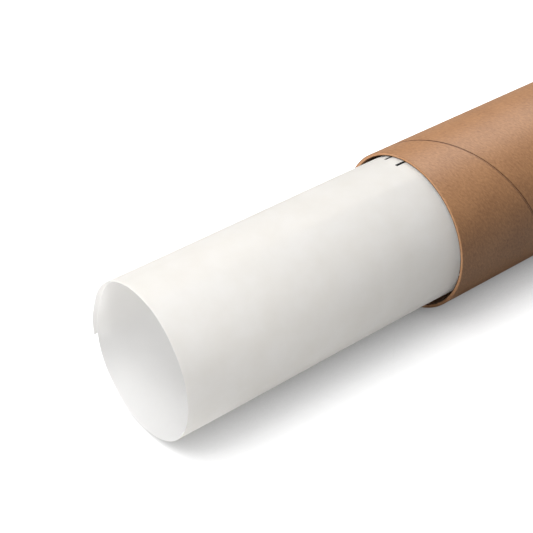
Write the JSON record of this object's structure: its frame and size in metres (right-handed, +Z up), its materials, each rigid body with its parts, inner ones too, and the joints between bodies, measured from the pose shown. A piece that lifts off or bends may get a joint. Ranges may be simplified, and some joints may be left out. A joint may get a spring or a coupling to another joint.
{
  "type": "drawing tube",
  "caption": "Spiral-wound cardboard drawing tube with push-in plastic end plugs and a rolled drawing sheet half drawn out of its open mouth.",
  "frame": {"origin": "centre of the tube's open mouth, on the tube's axis, in the plane of the cut end; the underside of the lying tube is 39.8 mm below it", "axes": "+X along the tube's axis from the mouth to the far end, +Z up from the surface that the tube lies on, +Y to the left as seen looking into the mouth"},
  "size_m": [0.7468, 0.0796, 0.0796],
  "materials": {
    "kraft_wrap": "smooth machine-glazed brown kraft with fine fibres",
    "chipboard": "cut edge of wound brown board, matt and fibrous",
    "kraft_liner": "matt brown kraft",
    "white_plug": "satin injection-moulded polyethylene",
    "drawing_paper": "thin uncoated warm white drawing paper that light shines through"
  },
  "bodies": {
    "tube": {"outer_wrap": "kraft_wrap", "ply_outer": "chipboard", "ply_middle": "chipboard", "ply_inner": "chipboard", "inner_liner": "kraft_liner"},
    "sheet": {"drawing_sheet": "drawing_paper"},
    "near_plug": {"near_plug": "white_plug"},
    "far_plug": {"far_plug": "white_plug"}
  },
  "joints": [
    {"name": "sheet_slide", "type": "slide", "parent": "tube", "child": "sheet", "axis": [1, 0, 0], "range_m": [-0.285, 0.1705]},
    {"name": "near_plug_slide", "type": "slide", "parent": "sheet", "child": "near_plug", "axis": [1, 0, 0], "range_m": [0, 0.1145]},
    {"name": "far_plug_slide", "type": "slide", "parent": "tube", "child": "far_plug", "axis": [-1, 0, 0], "range_m": [-0.06, 0]}
  ]
}
